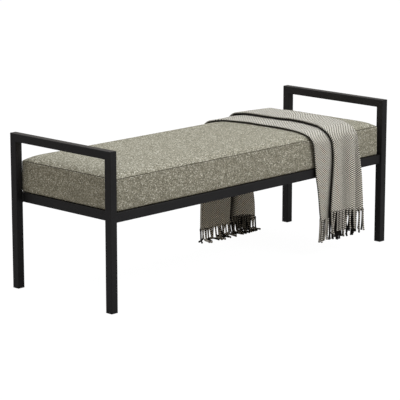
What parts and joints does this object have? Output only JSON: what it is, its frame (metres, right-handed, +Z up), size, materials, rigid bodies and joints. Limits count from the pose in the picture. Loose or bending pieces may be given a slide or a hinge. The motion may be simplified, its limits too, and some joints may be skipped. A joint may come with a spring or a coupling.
{
  "type": "entryway bench",
  "caption": "Long low bench with a black square-tube frame, a loop arm at each end, a boxed upholstered seat pad and a loose fringed throw over one end.",
  "frame": {"origin": "on the floor, under the middle of the bench", "axes": "+X along the seat to the right, -Y the front that faces the sitter's feet, +Z up"},
  "size_m": [1.508, 0.5644, 0.575],
  "materials": {
    "powder_coat": "satin black powder coat, fine orange peel",
    "glide_plastic": "moulded black polyethylene",
    "zinc": "zinc plated",
    "plywood": "sanded, unfinished",
    "foam": "open-cell polyurethane foam",
    "upholstery": "nubby taupe boucle weave",
    "lining": "black non-woven",
    "wool": "brushed wool blend, grey-beige diamond twill"
  },
  "bodies": {
    "bench": {"leg_front_left": "powder_coat", "leg_rear_left": "powder_coat", "arm_rail_left": "powder_coat", "leg_front_right": "powder_coat", "leg_rear_right": "powder_coat", "arm_rail_right": "powder_coat", "seat_rail_front": "powder_coat", "seat_rail_rear": "powder_coat", "seat_rail_left": "powder_coat", "seat_rail_right": "powder_coat", "cross_bar_1": "powder_coat", "cross_bar_2": "powder_coat", "cross_bar_3": "powder_coat", "gusset_front_left": "powder_coat", "gusset_front_right": "powder_coat", "gusset_rear_left": "powder_coat", "gusset_rear_right": "powder_coat", "glide_front_left": "glide_plastic", "glide_front_right": "glide_plastic", "glide_rear_left": "glide_plastic", "glide_rear_right": "glide_plastic", "pad_screw_front_left": "zinc", "pad_screw_front_right": "zinc", "pad_screw_front_bar_1": "zinc", "pad_screw_front_bar_2": "zinc", "pad_screw_front_bar_3": "zinc", "pad_screw_rear_left": "zinc", "pad_screw_rear_right": "zinc", "pad_screw_rear_bar_1": "zinc", "pad_screw_rear_bar_2": "zinc", "pad_screw_rear_bar_3": "zinc", "seat_board": "plywood", "foam_core": "foam", "cushion_cover": "upholstery", "dust_cover": "lining"},
    "throw": {"throw": "wool"}
  },
  "joints": [
    {"name": "throw_lift", "type": "slide", "parent": "bench", "child": "throw", "axis": [0, 0, 1], "range_m": [0, 0.55]}
  ]
}
